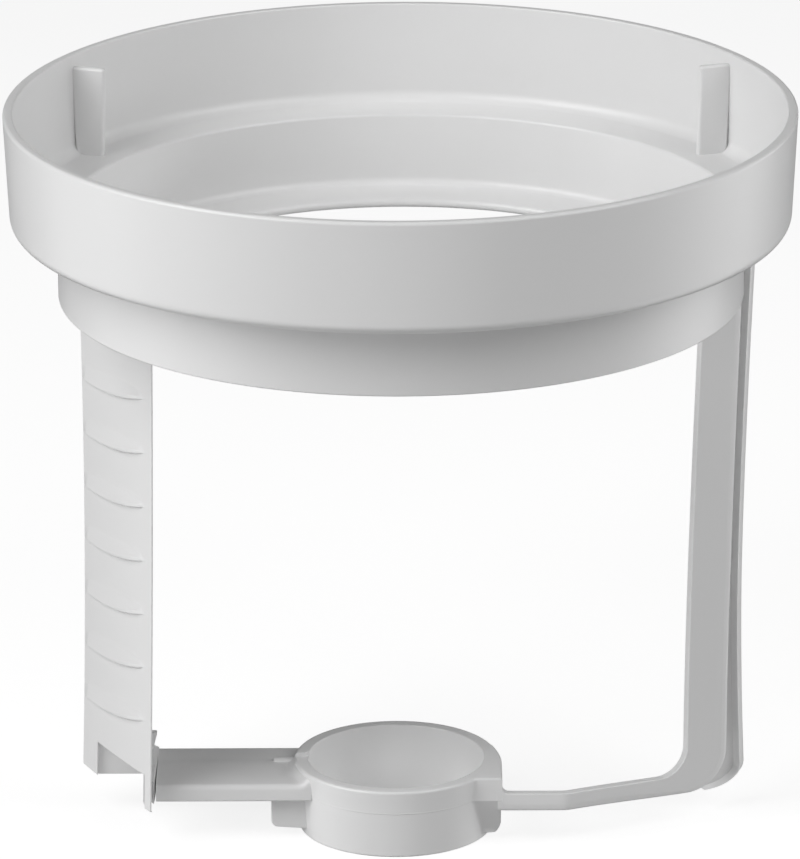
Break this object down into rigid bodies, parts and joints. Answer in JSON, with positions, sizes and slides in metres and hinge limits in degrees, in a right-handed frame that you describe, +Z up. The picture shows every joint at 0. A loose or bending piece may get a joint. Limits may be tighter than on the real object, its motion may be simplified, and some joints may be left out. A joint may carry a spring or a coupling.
{
  "type": "funnel ring frame",
  "caption": "Stepped open funnel ring with a shallow tray and a throat, carried on a toothed leg and a channel leg that meet at a small guide ring.",
  "frame": {"origin": "on the axis of the large ring, on the plane that the guide ring stands on", "axes": "+Z up along the ring axis, -Y to the front, toothed leg at -X and channel leg at +X"},
  "size_m": [0.2, 0.2, 0.193],
  "materials": {
    "ring_plastic": "smooth moulded, soft gloss, neutral white-grey",
    "frame_plastic": "smooth moulded, soft gloss, neutral white-grey"
  },
  "bodies": {
    "root": {"rim_ring": "ring_plastic", "throat_ring": "ring_plastic", "left_stop_rib": "ring_plastic", "right_stop_rib": "ring_plastic", "toothed_leg": "frame_plastic", "leg_cheek": "frame_plastic", "wide_arm": "frame_plastic", "arm_gusset": "frame_plastic", "guide_ring": "frame_plastic", "guide_skirt": "frame_plastic", "thin_arm": "frame_plastic", "channel_leg": "frame_plastic"}
  },
  "joints": []
}
